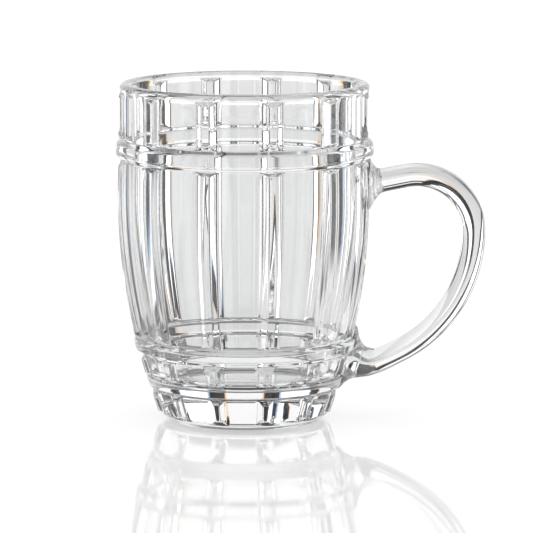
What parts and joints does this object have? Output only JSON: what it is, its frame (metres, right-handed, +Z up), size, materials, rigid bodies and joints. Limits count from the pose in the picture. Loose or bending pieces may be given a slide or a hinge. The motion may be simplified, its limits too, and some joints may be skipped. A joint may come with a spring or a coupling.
{
  "type": "glass tea mug",
  "caption": "Clear pressed-glass barrel mug with hoops, raised upright bars and a solid glass rod handle sealed to the wall; holds a hot drink.",
  "frame": {"origin": "centre of the flat underside that stands on the table", "axes": "+Z up along the mug's axis, +X from the axis towards the handle, +Y across the handle's plane"},
  "size_m": [0.1183, 0.0826, 0.108],
  "materials": {
    "clear_glass": "clear, fire-polished"
  },
  "bodies": {
    "root": {"mug_body": "clear_glass", "handle": "clear_glass", "upper_handle_seal": "clear_glass", "lower_handle_seal": "clear_glass"}
  },
  "joints": []
}
